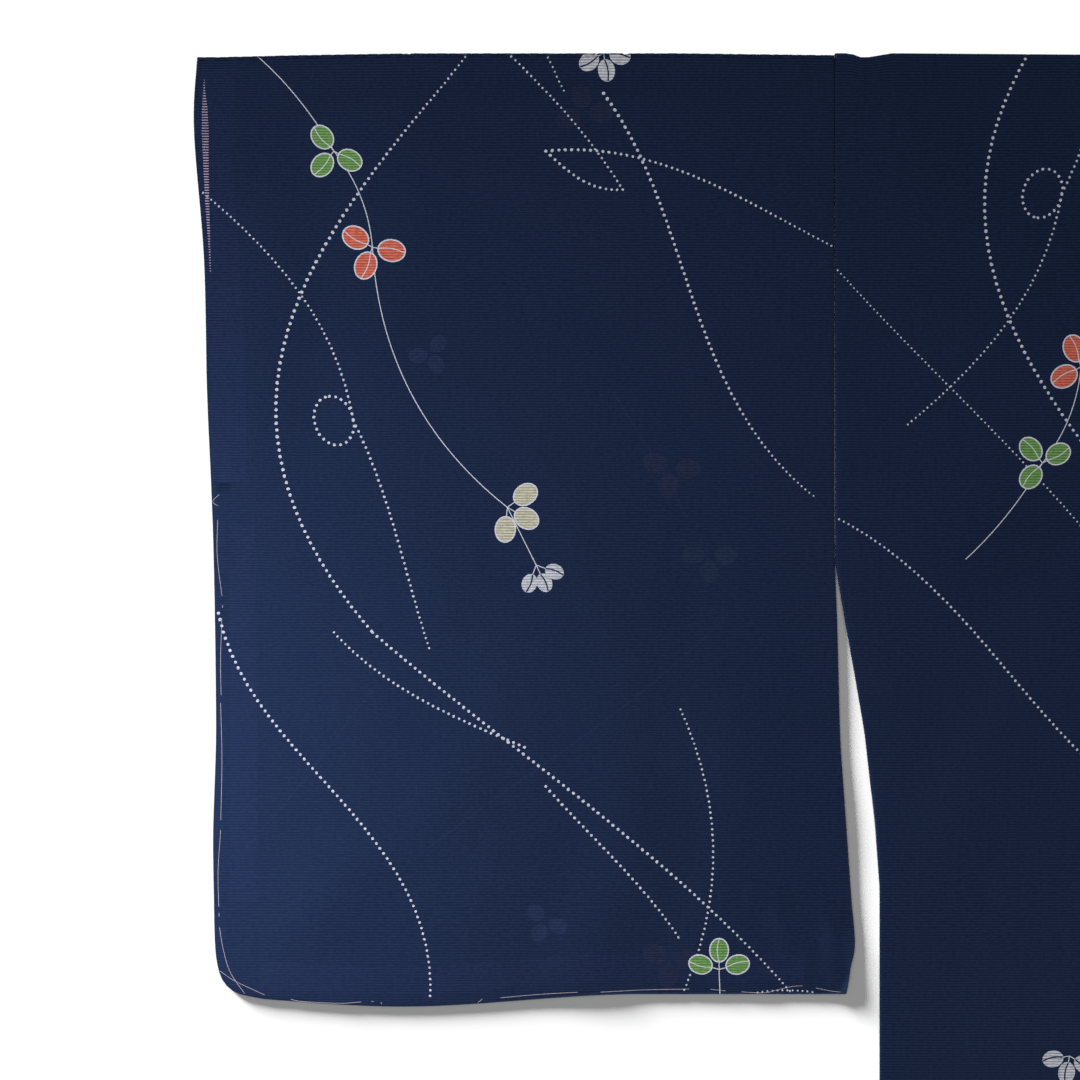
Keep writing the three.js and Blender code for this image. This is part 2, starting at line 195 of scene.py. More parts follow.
def thickness(full, inner):
    """How far the cloth's inner face lies below its outer one. full is 0 at an edge, inner is 0 or 1."""
    return THIN * np.maximum(full, EDGE_THIN) * inner


def collar_line(y):
    t = np.clip((-y - COLLAR_STRAIGHT) / (COLLAR_DROP - COLLAR_STRAIGHT), 0, 1)
    return NECK - COLLAR_BOW * t**2 + COLLAR_COUNTERBOW * t**3


def collar_width(y):
    return COLLAR_WIDTH + (COLLAR_END_WIDTH - COLLAR_WIDTH) * ease(-y / COLLAR_DROP)


def front_seam(y):
    return FRONT_SEAM + (FRONT_SEAM_TOP - FRONT_SEAM) * ease((y + HIP_DROP) / (HIP_DROP - TIP_DROP))


def raised(table, x, y):
    """How far the rows of a table of ridges lift the cloth."""
    high = np.zeros_like(x)
    for middle_x, middle_y, turn, length, wide, peak in table:
        cosine, sine = math.cos(math.radians(turn)), math.sin(math.radians(turn))
        along = (x - middle_x) * cosine + (y - middle_y) * sine
        across = (y - middle_y) * cosine - (x - middle_x) * sine
        high += peak * ease(1 - abs(across) / wide) * ease((1 - abs(along) / (length / 2)) * RIDGE_FULLNESS)
    return high


def over(inside):
    return ease((inside + CLEAR + RAMP) / RAMP)


def lift(x, y):
    """How far the left front is lifted by the right front and collar below it."""
    line = -collar_line(y)
    edge = line + collar_width(y)
    sheet = over(-OVERLAP_EDGE - x)
    upper = over(line - x)
    band = over(np.minimum(edge - x, y + COLLAR_DROP))
    covered = over(np.minimum(np.minimum(x - line, edge - x), y + COVER_DROP))
    bare = np.where(y < -COLLAR_DROP, sheet, upper)
    return np.maximum(np.maximum(PITCH * bare, PITCH * band), STACK * covered)


def rest(side, x, y):
    """Underside of the front layer."""
    if side == RIGHT:
        return PITCH + raised(RIGHT_RIDGES + RIGHT_CREASES, x, y)
    return PITCH + np.where(abs(x) < SHOULDER, lift(x, y), 0) + raised(LEFT_RIDGES + LEFT_CREASES, x, y)


# from the cut to the garment
def folded_place(side, closed):
    """For a panel folded at the shoulder. closed(out, s) is 1 where its edge is sewn to its other layer."""

    def place(out, s, edge, inner):
        x = side * out
        y = -abs(s)
        full = quarter(edge / ROUND)
        thin = thickness(full, inner)
        sewn = closed(out, abs(s)) * (1 - full)
        loose = 1 - full - sewn
        top = rest(side, x, y) + CLOTH
        front = top - sewn * (top - FOLD_RADIUS - SEWN_GAP) - loose * EDGE_DROP - thin
        back = sewn * (FOLD_RADIUS - SEWN_GAP) + loose * EDGE_RISE + thin
        angle = np.clip(s / FOLD_RADIUS, -1, 1) * math.pi / 2
        radius = FOLD_RADIUS - (1 - full) * FOLD_EDGE_DROP - thin
        turning = abs(s) < FOLD_RADIUS
        y = np.where(turning, -FOLD_RADIUS + radius * np.cos(angle), y)
        bent = FOLD_RADIUS + radius * np.sin(angle)
        y = y + column(FOLD_WAVE, out, 1) * ease(1 - abs(s) / FOLD_WAVE_REACH)
        return x, y, np.where(turning, bent, np.where(s > 0, front, back))

    return place


def flat_place(side):
    def place(out, s, edge, inner):
        x, y = side * out, -s
        full = quarter(edge / ROUND)
        return x, y, rest(side, x, y) + CLOTH - (1 - full) * EDGE_DROP - thickness(full, inner)

    return place


def collar_rest(side, x, y):
    corner = PITCH + (STACK - PITCH) * ease((y + COLLAR_STRAIGHT) / (CORNER_SHARE * COLLAR_STRAIGHT))
    return np.maximum(rest(side, x, y), corner)


def strip(side, along, across, high):
    """A point of the collar strip: on the front beside its seam, then rolled over behind the neck."""
    slope = (collar_line(along + SLOPE_STEP) - collar_line(along - SLOPE_STEP)) / (2 * SLOPE_STEP)
    length = np.hypot(1, slope)
    straight = along >= -COLLAR_STRAIGHT
    out = np.where(straight, NECK - across, collar_line(along) - across / length)
    y = np.where(straight, along, along + across * slope / length)
    z = collar_rest(side, side * out, y) + high
    past = (along - CREASE - across) / math.sqrt(2)
    rolled = straight & (past > 0)
    turn = np.clip(past / ROLL_MIDDLE, 0, math.pi)
    radius = ROLL_CORE + high
    beyond = np.maximum(0, past - math.pi * ROLL_MIDDLE)
    moved = np.where(rolled, (radius * np.sin(turn) - beyond - past) / math.sqrt(2), 0)
    z = np.where(rolled, STACK - ROLL_CORE + radius * np.cos(turn), z)
    return side * (out + moved), y + moved, z


def collar_place(side):
    def place(across, along, edge, inner):
        full = quarter(edge / ROUND)
        high = PITCH * ease((along + COVER_DROP + COLLAR_REACH) / COLLAR_REACH) + CLOTH
        return strip(side, along, across, high - (1 - full) * EDGE_DROP - thickness(full, inner))

    return place


def cover_place(w, t, edge, inner):
    """w runs from the seam below, round the fold at 0, to the seam above, and t from right to left."""
    full = quarter(edge / ROUND)
    along = STRIP_END - abs(t)
    angle = np.clip(w / WRAP_RADIUS, -math.pi / 2, math.pi / 2)
    radius = WRAP_RADIUS - (1 - full) * WRAP_EDGE_DROP - thickness(full, inner)
    flat = np.maximum(abs(w) - ARC, 0)
    across = collar_width(along) - WRAP_RADIUS - flat + radius * np.cos(angle)
    high = WRAP_RADIUS + radius * np.sin(angle)
    x, y, z = np.zeros_like(w), np.zeros_like(w), np.zeros_like(w)
    for side, pick in ((RIGHT, t < 0), (LEFT, t >= 0)):
        x[pick], y[pick], z[pick] = strip(side, along[pick], across[pick], high[pick])
    return x, y, z


# lines in the cut
EDGE_STEP, SLEEVE_STEP, STRIP_STEP, COVER_END_STEP = 6, 4, 5, 3  # between points of an outline
LOWER_POINTS = 60  # along a sleeve's lower edge
SAME_POINT = 0.05  # points closer than this are one


def distances(line):
    """How far along the line each of its points is."""
    return np.concatenate([[0], np.cumsum(np.hypot(*np.diff(line, axis=0).T))])


def resample(line, step):
    far = distances(line)
    count = max(1, int(round(far[-1] / step)))
    at = np.linspace(0, far[-1], count + 1)
    return np.column_stack([np.interp(at, far, line[:, axis]) for axis in (0, 1)])


def smooth_line(points, step):
    """A smooth line through the points, as points about step apart."""
    p = np.array(points, float)
    p = np.vstack([2 * p[0] - p[1], p, 2 * p[-1] - p[-2]])
    line = []
    for a, b, c, d in zip(p, p[1:], p[2:], p[3:]):
        count = max(1, int(np.ceil(np.hypot(*(c - b)) / step * 3)))
        square, cube = 2 * a - 5 * b + 4 * c - d, 3 * b - a - 3 * c + d
        line += [0.5 * (2 * b + (c - a) * t + square * t**2 + cube * t**3) for t in np.arange(count) / count]
    return resample(np.array(line + [p[-2]]), step)


def folded_outline(front_outer, front_lower, front_inner):
    """Closes the cut of a folded panel from the front's edges, each a list of (out, s) points."""
    front = np.vstack([front_outer, front_lower, front_inner])
    whole = np.vstack([front, front[::-1] * (1, -1)])
    keep = [i for i in range(len(whole)) if np.hypot(*(whole[i] - whole[i - 1])) > SAME_POINT]
    return whole[keep]


def sleeve_outline():
    bottom = SLEEVE[-1][0]
    outer = smooth_line([(SHOULDER + cuff, drop) for drop, cuff, _ in SLEEVE], SLEEVE_STEP)
    inner = smooth_line([(SHOULDER + SEAM - swing, drop) for drop, _, swing in SLEEVE], SLEEVE_STEP)
    outs = np.linspace(outer[-1, 0], inner[-1, 0], LOWER_POINTS)[1:-1]
    lower = np.column_stack([outs, np.full(len(outs), float(bottom))])
    for line in (outer, lower, inner):
        sag = LOWER_SAG * ease(1 - abs(line[:, 0] - LOWER_SAG_AT) / LOWER_SAG_SPREAD) - LOWER_RISE
        line[:, 1] += sag * ease(1 - (bottom - line[:, 1]) / LOWER_REACH)
    return folded_outline(outer, lower, inner[::-1])


def edge_line(start, end, step=EDGE_STEP):
    return resample(np.array([start, end]), step)


def body_outline():
    drops = np.concatenate([[0], np.arange(EDGE_STEP, LENGTH, EDGE_STEP), [LENGTH]])
    outer = np.column_stack([column(SIDE_SEAM, drops, 1) - SEAM, drops])
    hem = front_seam(-LENGTH) + SEAM
    lower = edge_line((outer[-1, 0], LENGTH), (hem, LENGTH))[1:-1]
    below = np.arange(LENGTH, TIP_DROP, -EDGE_STEP)
    seam = np.column_stack([front_seam(-below) + SEAM, below])
    neck = np.arange(TIP_DROP, NECK_CLEAR_DROP + 3, -STRIP_STEP)
    collar = np.column_stack([collar_line(-neck) + SEAM, neck])
    clear = [(NECK_CLEAR, NECK_CLEAR_DROP - 1), (NECK_CLEAR, NECK_CLEAR_DROP / 2), (NECK_CLEAR, 0)]
    front = np.vstack([outer, lower, seam, collar, clear])
    centre = edge_line((SEAM, -NECKLINE_DROP), (SEAM, -LENGTH))
    neckline = edge_line((NECK_CLEAR, -NECKLINE_DROP), (SEAM, -NECKLINE_DROP))[:-1]
    back_hem = edge_line((SEAM, -LENGTH), (outer[-1, 0], -LENGTH))[1:-1]
    back_outer = (outer * (1, -1))[::-1][:-1]
    return np.vstack([front, neckline, centre, back_hem, back_outer])


def overlap_outline():
    top = TIP_DROP + 0.5
    drops = np.append(np.arange(top, LENGTH, EDGE_STEP), LENGTH)
    outer = np.column_stack([front_seam(-drops) - SEAM, drops])
    lower = edge_line((outer[-1, 0], LENGTH), (OVERLAP_EDGE + SEAM, LENGTH))[1:-1]
    inner = np.column_stack([collar_line(-drops) + SEAM, drops])[::-1]
    return np.vstack([outer, lower, inner])


def collar_outline():
    alongs = np.arange(-COLLAR_DROP, STRIP_END - SEAM, STRIP_STEP)
    alongs = np.append(alongs, STRIP_END - SEAM)
    free = np.column_stack([collar_width(alongs) - WRAP_RADIUS, alongs])
    seam = np.column_stack([np.full(len(alongs), SEAM), alongs])[::-1]
    low = edge_line(seam[-1], free[0])[1:-1]
    high = edge_line(free[-1], seam[0])[1:-1]
    return np.vstack([free, high, seam, low])


def cover_outline():
    end = STRIP_END + COVER_DROP
    ts = edge_line((0, -end), (0, end), STRIP_STEP)[:, 1]
    half = collar_width(STRIP_END - abs(ts)) - WRAP_RADIUS - SEAM + ARC
    upper = np.column_stack([half, ts])
    lower = (upper * (-1, 1))[::-1]
    left = edge_line(upper[-1], lower[0], COVER_END_STEP)[1:-1]
    right = edge_line(lower[-1], upper[0], COVER_END_STEP)[1:-1]
    return np.vstack([upper, left, lower, right])


def edge_distance(points, outline):
    """Distance to the closed outline, and whether each point is inside it."""
    nearest = np.full(len(points), np.inf)
    inside = np.zeros(len(points), bool)
    x, y = points[:, 0], points[:, 1]
    for a, b in zip(outline, np.roll(outline, -1, axis=0)):
        d = b - a
        t = np.clip(((x - a[0]) * d[0] + (y - a[1]) * d[1]) / (d @ d), 0, 1)
        nearest = np.minimum(nearest, (x - a[0] - t * d[0]) ** 2 + (y - a[1] - t * d[1]) ** 2)
        if a[1] != b[1]:
            crosses = (a[1] > y) != (b[1] > y)
            inside ^= crosses & (x < a[0] + (y - a[1]) / d[1] * d[0])
    return np.sqrt(nearest), inside


def signed_area(polygon):
    x, y = polygon.T
    return np.sum(x * np.roll(y, -1) - np.roll(x, -1) * y) / 2


def within(points, outline, clear):
    far, inside = edge_distance(points, outline)
    return points[inside & (far > clear)]


EDGE_ROWS = (0.3, 0.9, ROUND)  # insets of the rows of points that shape an edge
GRID_CLEAR = 0.55  # share of a grid's step that stays free beside an edge
ROW_CLEAR = 0.85  # the same as a share of a row's inset


def lattice(outline, step, fine):
    """Points inside the outline: a staggered grid, rows close to the edge, and those of fine."""
    low, high = outline.min(0), outline.max(0)
    rows = []
    for number, y in enumerate(np.arange(low[1] + step / 2, high[1], step)):
        stagger = 0.25 + 0.5 * (number % 2)
        xs = np.arange(low[0] + stagger * step, high[0], step)
        rows.append(np.column_stack([xs, np.full(len(xs), y)]))
    found = [within(np.vstack(rows), outline, GRID_CLEAR * step)]
    if len(fine):
        found.append(within(fine, outline, EDGE_ROWS[0]))
    after = np.roll(outline, -1, axis=0) - np.roll(outline, 1, axis=0)
    normal = np.sign(signed_area(outline)) * np.column_stack([-after[:, 1], after[:, 0]])
    normal /= np.hypot(*normal.T)[:, None]
    for inset in EDGE_ROWS:
        found.append(within(outline + normal * inset, outline, ROW_CLEAR * inset))
    found = np.vstack(found)
    _, first = np.unique(np.round(found, 2), axis=0, return_index=True)
    return found[np.sort(first)]


# the print
# A repeat of the print is 330 wide. x runs from its inner edge outwards and d down. Its lines are plain
# curves from start to end, and each bow pushes the curve sideways there, as a share of its length.
# dotted lines: size of the first, middle and last dots, start, bow, bow near the end, end
DOTTED = [
    (1.1, 1.9, 1.6, (190, 0), -0.2, -0.4, (240, 300)),
    (1.6, 1.7, 1.1, (240, 300), 0, 0.05, (20, 490)),
    (1.1, 1.2, 1.5, (330, 70), 0.1, 0.15, (250, 190)),
    (1.5, 1.4, 1.1, (250, 190), 0.05, 0, (210, 310)),
    (1.2, 1.4, 1.6, (260, 300), -0.1, -0.05, (160, 360)),
    (1.6, 1.5, 1.2, (150, 380), 0, 0.05, (80, 460)),
    (1.8, 1.6, 1.3, (320, 290), -0.1, 0.2, (210, 490)),
    (1.2, 1.2, 1.3, (170, 0), 0.05, 0.05, (110, 70)),
    (1.3, 1.5, 1.7, (110, 70), 0.2, 0.1, (150, 50)),
    (1.8, 1.4, 1.0, (150, 50), 0.15, 0.05, (0, 100)),
    (1.0, 1.0, 1.0, (150, 0), 0, 0, (140, 20)),
    (1.9, 1.6, 1.0, (120, 20), 0.05, -0.15, (10, 230)),
    (1.1, 1.3, 1.1, (80, 340), 0.15, 0.15, (80, 490)),
    (1.0, 1.0, 1.0, (40, 487), 0.05, 0.05, (10, 487)),
]
# closed rings of dots: size, x, d, turn in degrees, half length, half width
CURLS = [(1.6, 260, 190, -70, 13, 10)]
# drawn stems: start, bow, bow near the end, end
STEMS = [
    ((300, 0), 0.05, 0.05, (260, 50)),
    ((260, 50), 0.1, 0.1, (240, 100)),
    ((240, 100), -0.15, -0.15, (170, 235)),
    ((170, 235), 0, 0, (155, 265)),
    ((60, 475), 0, 0.05, (60, 495)),
]
# sprays of three leaves: x and d of the joint, turn in degrees, degrees between leaves, half length, ink
SPRAYS = [
    (260, 50, 50, 100, 7, "green"),
    (240, 100, 70, 100, 7.5, "orange"),
    (170, 235, 150, 65, 7, "beige"),
    (155, 265, 115, 45, 5, "white"),
    (120, 0, 100, 70, 5.5, "white"),
    (60, 475, -90, 75, 6.5, "green"),
]
# the same print seen through from the layer below
SHADOW_SPRAYS = [
    (130, 30, -80, 100, 6.5, "ghost_red"),
    (85, 215, 80, 100, 6.5, "ghost_red"),
    (85, 470, 80, 100, 6.5, "ghost_red"),
    (65, 260, 90, 90, 6, "ghost_green"),
    (210, 155, 120, 110, 5, "ghost_pale"),
    (150, 450, 60, 100, 5, "ghost_pale"),
]
SHADOW_LINES = [
    ((115, 175), 0, 0.05, (75, 245)),
    ((55, 290), 0.05, 0, (215, 415)),
    ((240, 330), 0, 0.05, (310, 415)),
]
BOW_POINTS = 25
STEM_WIDTH = 0.45
SHADOW_LINE_WIDTH, SHADOW_LINE_STEP = 0.7, 6
OUTLINE_WIDTH = 0.7
LEAF_WIDTH = 0.8  # of its length
VEIN_WIDTH, WHITE_VEIN_WIDTH, VEIN_STEP = 0.45, 0.75, 1.5
VEIN_BOW = 0.16  # of the leaf's half width
LEAF_SIDES, SHADOW_SIDES, CURL_SIDES = 22, 14, 24
DOT_GAP = 1.6
FINE_SIDES, PLAIN_SIDES, BESIDE_SIDES = 8, 6, 8  # of a dot's outline


def bowed(start, bow, bow_end, end):
    """A plain curve from start to end, pushed sideways by each bow times its length."""
    start, end = np.array(start, float), np.array(end, float)
    along = end - start
    side = np.array([-along[1], along[0]])
    first, second = start + along / 3 + side * bow, start + along * 2 / 3 + side * bow_end
    t = np.linspace(0, 1, BOW_POINTS)[:, None]
    return (1 - t)**3 * start + 3 * (1 - t)**2 * t * first + 3 * (1 - t) * t**2 * second + t**3 * end


def ribbon(points, width, step=2.5):
    line = smooth_line(points, step)
    ahead = np.gradient(line, axis=0)
    aside = np.column_stack([-ahead[:, 1], ahead[:, 0]]) / np.hypot(*ahead.T)[:, None] * width / 2
    return np.vstack([line + aside, (line - aside)[::-1]])


def turned(x, d, turn, along, across):
    """The point that is along and across the direction of turn from x, d."""
    cosine, sine = math.cos(math.radians(turn)), math.sin(math.radians(turn))
    return x + along * cosine - across * sine, d + along * sine + across * cosine


def ellipse(x, d, turn, long, wide, count):
    angle = np.arange(count) / count * 2 * math.pi
    return np.column_stack(turned(x, d, turn, long * np.cos(angle), wide * np.sin(angle)))


def leaf(x, d, turn, long, wide, ink):
    bow = VEIN_BOW * wide
    vein = [(-0.95 * long, 0), (-0.3 * long, bow), (0.3 * long, bow), (0.95 * long, -0.1 * bow)]
    vein = [turned(x, d, turn, along, across) for along, across in vein]
    whole = ellipse(x, d, turn, long, wide, LEAF_SIDES)
    if ink == "white":
        return [("white", whole), ("cloth", ribbon(vein, WHITE_VEIN_WIDTH, VEIN_STEP))]
    inner = ellipse(x, d, turn, long - OUTLINE_WIDTH, wide - OUTLINE_WIDTH, LEAF_SIDES)
    faces = [("stem", whole), (ink, inner)]
    if ink != "beige":
        faces.append(("stem", ribbon(vein, VEIN_WIDTH, VEIN_STEP)))
    return faces


def spray_leaves(x, d, turn, spread, size):
    """The three leaves round a joint: x, d, turn, half length, half width. Narrow sprays reach further."""
    reach = size * (0.8 + 55 / spread)
    rows = []
    for lean in (-spread, 0, spread):
        leaf_x, leaf_d = turned(x, d, turn + lean, reach, 0)
        rows.append((leaf_x, leaf_d, turn + lean, size, LEAF_WIDTH * size))
    return rows


def spray(x, d, turn, spread, size, ink):
    rows = spray_leaves(x, d, turn, spread, size)
    faces = [("stem", ribbon([(x, d), (leaf_x, leaf_d)], STEM_WIDTH)) for leaf_x, leaf_d, *_ in rows]
    for row in rows:
        faces += leaf(*row, ink)
    return faces


def dots(first, middle, last, points, sides):
    """Resist-dyed dots, larger ones further apart, each a little uneven."""
    line = smooth_line(points, 0.5)
    far = distances(line)
    faces = []
    at = 0
    while at < far[-1]:
        size = float(np.interp(at / far[-1], (0, 0.35, 0.65, 1), (first, middle, middle, last)))
        uneven = math.sin(5.1 * len(faces) + at)
        x, d = np.interp(at, far, line[:, 0]), np.interp(at, far, line[:, 1])
        long, wide = size / 2 * (1 + 0.1 * uneven), 0.92 * size / 2
        faces.append(("dot", ellipse(x + 0.08 * uneven, d, 51 * len(faces), long, wide, sides)))
        at += DOT_GAP + size
    return faces


def dotted(rows, sides):
    faces = []
    for first, middle, last, *row in rows:
        faces += dots(first, middle, last, bowed(*row), sides)
    return faces


def repeat(sides):
    """One repeat of the print, as (ink, polygon) from the lowest layer of ink to the highest."""
    faces = []
    for *where, ink in SHADOW_SPRAYS:
        faces += [(ink, ellipse(*row, SHADOW_SIDES)) for row in spray_leaves(*where)]
    for row in SHADOW_LINES:
        faces.append(("ghost_line", ribbon(bowed(*row), SHADOW_LINE_WIDTH, SHADOW_LINE_STEP)))
    faces += dotted(DOTTED, sides)
    for size, x, d, turn, long, wide in CURLS:
        ring = ellipse(x, d, turn, long, wide, CURL_SIDES)
        faces += dots(size, size, size, np.vstack([ring, ring[:1]]), sides)
    faces += [("stem", ribbon(bowed(*row), STEM_WIDTH)) for row in STEMS]
    for row in SPRAYS:
        faces += spray(*row)
    return faces


def placed(faces, x, s, turn_x, turn_s):
    return [(ink, polygon * (turn_x, turn_s) + (x, s)) for ink, polygon in faces]


# making a panel
INKS = ["cloth", "white", "green", "orange", "beige", "stem", "dot", "ghost_red", "ghost_green", "ghost_pale",
        "ghost_line", "allowance", "selvedge"]
UNDER_GRID = 7  # the inner face is at least this coarse
DOT_CLEAR = 0.6  # share of its width by which a printed face stays off the edge
materials = {}


def to_linear(c):
    c = c / 255
    return c / 12.92 if c < 0.04045 else ((c + 0.055) / 1.055) ** 2.4


def colour(*rgb):
    return (*[to_linear(c) for c in rgb], 1)


def triangulate(points, polygons):
    """Triangles of the points, and for each the polygons that hold it."""
    polygons = [p if signed_area(points[p]) > 0 else p[::-1] for p in polygons]
    co, _, faces, _, _, origin = delaunay_2d_cdt([tuple(p) for p in points], [], polygons, 1, 1e-4)
    return np.array([tuple(c) for c in co]), faces, origin


def clear_of_edge(faces, outline):
    """The printed faces that lie inside the outline, and those but dots that reach over it."""
    kept = []
    far, inside = edge_distance(np.array([polygon.mean(0) for _, polygon in faces]), outline)
    for (ink, polygon), distance, is_inside in zip(faces, far, inside):
        wide = np.ptp(polygon, axis=0).max()
        if (is_inside and distance > DOT_CLEAR * wide) or (ink != "dot" and distance < wide):
            kept.append((ink, polygon))
    return kept


def printed_face(outline, grid, polygons):
    """Points and triangles of the cloth's outer face, and the number of the topmost polygon on each."""
    rings = [list(range(len(outline)))]
    count = len(outline) + len(grid)
    for polygon in polygons:
        rings.append(list(range(count, count + len(polygon))))
        count += len(polygon)
    flat, triangles, origin = triangulate(np.vstack([outline, grid, *polygons]), rings)
    chosen = [(triangle, max(held)) for triangle, held in zip(triangles, origin) if 0 in held]
    used = sorted({point for triangle, _ in chosen for point in triangle})
    number = {point: i for i, point in enumerate(used)}
    faces = [tuple(number[point] for point in triangle) for triangle, _ in chosen]
    return flat[used], faces, [topmost for _, topmost in chosen]


def rim(name, faces):
    """The points round the edge of the triangles, in order."""
    edges = {(face[i], face[(i + 1) % 3]) for face in faces for i in range(3)}
    ahead = {a: b for a, b in edges if (b, a) not in edges}
    start = min(ahead)
    ring = [start]
    while ahead[ring[-1]] != start:
        ring.append(ahead[ring[-1]])
    if len(ring) != len(ahead):
        raise RuntimeError(f"{name}: its edge isn't one ring, {len(ring)} of {len(ahead)}")
    return ring


def closed_faces(outer_faces, under_faces, ring, shift):
    """All faces of the cloth. The inner face's points are numbered from shift, those of its rim first."""
    faces = outer_faces + [(c + shift, b + shift, a + shift) for a, b, c in under_faces]
    for i, a in enumerate(ring):
        j = (i + 1) % len(ring)
        faces.append((ring[j], a, shift + i, shift + j))
    return faces


def inside_out(xyz, triangles):
    a, b, c = (xyz[np.array(triangles)[:, corner]] for corner in range(3))
    return np.einsum("ij,ij->", a, np.cross(b, c)) < 0


def new_object(name, data):
    piece = bpy.data.objects.new(name, data)
    bpy.context.scene.collection.objects.link(piece)
    return piece


def new_mesh(name, xyz, faces):
    """A smooth mesh from points in millimetres."""
    mesh = bpy.data.meshes.new(name)
    mesh.from_pydata([tuple(point) for point in (xyz + (0, SHOULDER_Y, 0)) * MM], [], faces)
    mesh.polygons.foreach_set("use_smooth", [True] * len(faces))
    return mesh


def panel(name, outline, place, faces, step, fine=(), palette="cloth"):
    """A closed piece of cloth: the printed outer face, a plain inner face and the edge between them."""
    kept = clear_of_edge(faces, outline)
    inks = [0] + [INKS.index(ink) for ink, _ in kept]
    polygons = [polygon for _, polygon in kept]
    outer, outer_faces, topmost = printed_face(outline, lattice(outline, step, fine), polygons)
    ring = rim(name, outer_faces)
    under_points = np.vstack([outer[ring], lattice(outline, max(step, UNDER_GRID), fine)])
    under, under_faces, origin = triangulate(under_points, [list(range(len(ring)))])
    if len(under) != len(under_points):
        raise RuntimeError(f"{name}: the inner face's points changed")
    under_faces = [face for face, held in zip(under_faces, origin) if held]

    both = np.vstack([outer, under])
    edge, _ = edge_distance(both, outline)
    edge[ring] = 0
    edge[len(outer): len(outer) + len(ring)] = 0
    inner = np.concatenate([np.zeros(len(outer)), np.ones(len(under))])
    xyz = np.column_stack(place(both[:, 0], both[:, 1], edge, inner))
    all_faces = closed_faces(outer_faces, under_faces, ring, len(outer))
    if inside_out(xyz, all_faces[: len(outer_faces) + len(under_faces)]):
        all_faces = [face[::-1] for face in all_faces]

    mesh = new_mesh(name, xyz, all_faces)
    face_inks = [inks[number] for number in topmost]
    face_inks += [0] * (len(all_faces) - len(face_inks))
    shown_inks = sorted(set(face_inks))
    for ink in shown_inks:
        mesh.materials.append(materials[palette if ink == 0 else INKS[ink]])
    mesh.polygons.foreach_set("material_index", [shown_inks.index(ink) for ink in face_inks])
    uv = mesh.uv_layers.new(name="cloth")
    corner = np.empty(len(mesh.loops), np.int32)
    mesh.loops.foreach_get("vertex_index", corner)
    uv.data.foreach_set("uv", (both[corner] * MM).astype(np.float32).ravel())
    mesh.update()
    return new_object(name, mesh)


# materials
RIB = 1.4  # from one rib of the weave to the next


def weave_group():
    """Ribs across the cloth with fine broken openings between them, and soft clouding of the dye.

    The scales of each noise are per metre of the cloth's width and length.
    """
    tree = bpy.data.node_groups.new("weave", "ShaderNodeTree")
    face = tree.interface
    face.new_socket("Dark", in_out="INPUT", socket_type="NodeSocketColor")
    face.new_socket("Light", in_out="INPUT", socket_type="NodeSocketColor")
    face.new_socket("Color", in_out="OUTPUT", socket_type="NodeSocketColor")
    face.new_socket("Height", in_out="OUTPUT", socket_type="NodeSocketFloat")
    node = tree.nodes.new
    link = tree.links.new
    given, out = node("NodeGroupInput"), node("NodeGroupOutput")
    uv = node("ShaderNodeUVMap")
    uv.uv_map = "cloth"
    split = node("ShaderNodeSeparateXYZ")
    link(uv.outputs[0], split.inputs[0])

    def math_node(kind, *values):
        made = node("ShaderNodeMath")
        made.operation = kind
        for socket, value in zip(made.inputs, values):
            if isinstance(value, (int, float)):
                socket.default_value = value
            else:
                link(value, socket)
        return made.outputs[0]

    def noise(x_scale, y_scale, detail):
        join = node("ShaderNodeCombineXYZ")
        link(math_node("MULTIPLY", split.outputs[0], x_scale), join.inputs[0])
        link(math_node("MULTIPLY", split.outputs[1], y_scale), join.inputs[1])
        texture = node("ShaderNodeTexNoise")
        texture.inputs["Scale"].default_value = 1.0
        texture.inputs["Detail"].default_value = detail
        link(join.outputs[0], texture.inputs["Vector"])
        return texture.outputs["Fac"]

    wander = math_node("MULTIPLY", noise(60, 60, 2), 3.0)
    turns = math_node("ADD", math_node("MULTIPLY", split.outputs[1], 2 * math.pi / (RIB * MM)), wander)
    clear = math_node("MULTIPLY", noise(110, 90, 2), 0.85)
    rib = math_node("MULTIPLY_ADD", math_node("SINE", turns), clear, 0.5)
    broken = math_node("MULTIPLY_ADD", noise(420, 720, 2), 2.4, -0.2)
    cloud = math_node("MULTIPLY_ADD", noise(9, 9, 3), 0.5, 0.75)
    warp = math_node("MULTIPLY_ADD", noise(1100, 40, 2), 0.9, 0.55)
    high = math_node("MULTIPLY", math_node("MULTIPLY", rib, broken), math_node("MULTIPLY", cloud, warp))
    mix = node("ShaderNodeMix")
    mix.data_type = "RGBA"
    mix.clamp_factor = True
    link(high, mix.inputs["Factor"])
    link(given.outputs["Dark"], mix.inputs[6])
    link(given.outputs["Light"], mix.inputs[7])
    dye = node("ShaderNodeMix")
    dye.data_type = "RGBA"
    dye.blend_type = "MULTIPLY"
    dye.inputs[7].default_value = (0.98, 0.92, 1, 1)
    link(noise(100, 100, 3), dye.inputs["Factor"])
    link(mix.outputs[2], dye.inputs[6])
    link(dye.outputs[2], out.inputs["Color"])
    link(rib, out.inputs["Height"])
    return tree


WEAVE = weave_group()


def new_material(name, roughness):
    material = bpy.data.materials.new(name)
    material.use_nodes = True
    shader = material.node_tree.nodes["Principled BSDF"]
    shader.inputs["Roughness"].default_value = roughness
    return material, shader


